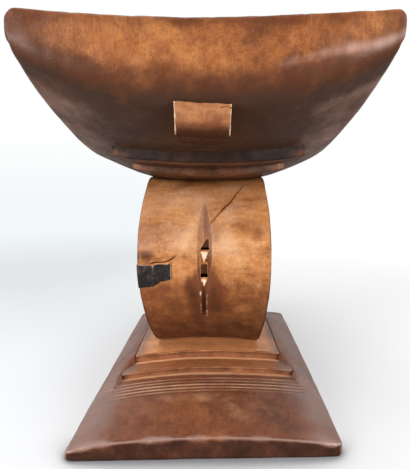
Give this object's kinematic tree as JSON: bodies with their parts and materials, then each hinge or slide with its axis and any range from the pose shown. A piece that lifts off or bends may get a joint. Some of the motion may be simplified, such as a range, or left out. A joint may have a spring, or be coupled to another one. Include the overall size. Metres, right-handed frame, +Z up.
{
  "type": "carved wooden stool",
  "caption": "Low carved wooden stool: a curved saddle seat on an open ring support, on a stepped and gently domed rectangular base.",
  "frame": {"origin": "middle of the base's underside, on the floor", "axes": "+Z up, X along the seat's length, Y across the seat and along the ring's axis; +X is the end whose left cheek carries the repair plate"},
  "size_m": [0.512, 0.2844, 0.3616],
  "materials": {
    "seat_wood": "hand-polished reddish brown wood, mottled, dark underneath",
    "worn_wood": "bare handled wood, lighter orange brown",
    "ring_wood": "golden brown waxed wood, stained dark beside the slot",
    "base_wood": "dull reddish brown wood with worn edges",
    "black_iron": "thin blackened sheet iron, nailed"
  },
  "bodies": {
    "root": {"seat": "seat_wood", "seat_step_outer_front": "seat_wood", "seat_step_outer_back": "seat_wood", "seat_step_inner_front": "seat_wood", "seat_step_inner_back": "seat_wood", "seat_lug_front": "worn_wood", "seat_lug_back": "worn_wood", "ring_support": "ring_wood", "plinth_step_upper": "base_wood", "plinth_step_lower": "base_wood", "base": "base_wood", "repair_plate": "black_iron", "repair_nails": "black_iron"}
  },
  "joints": []
}
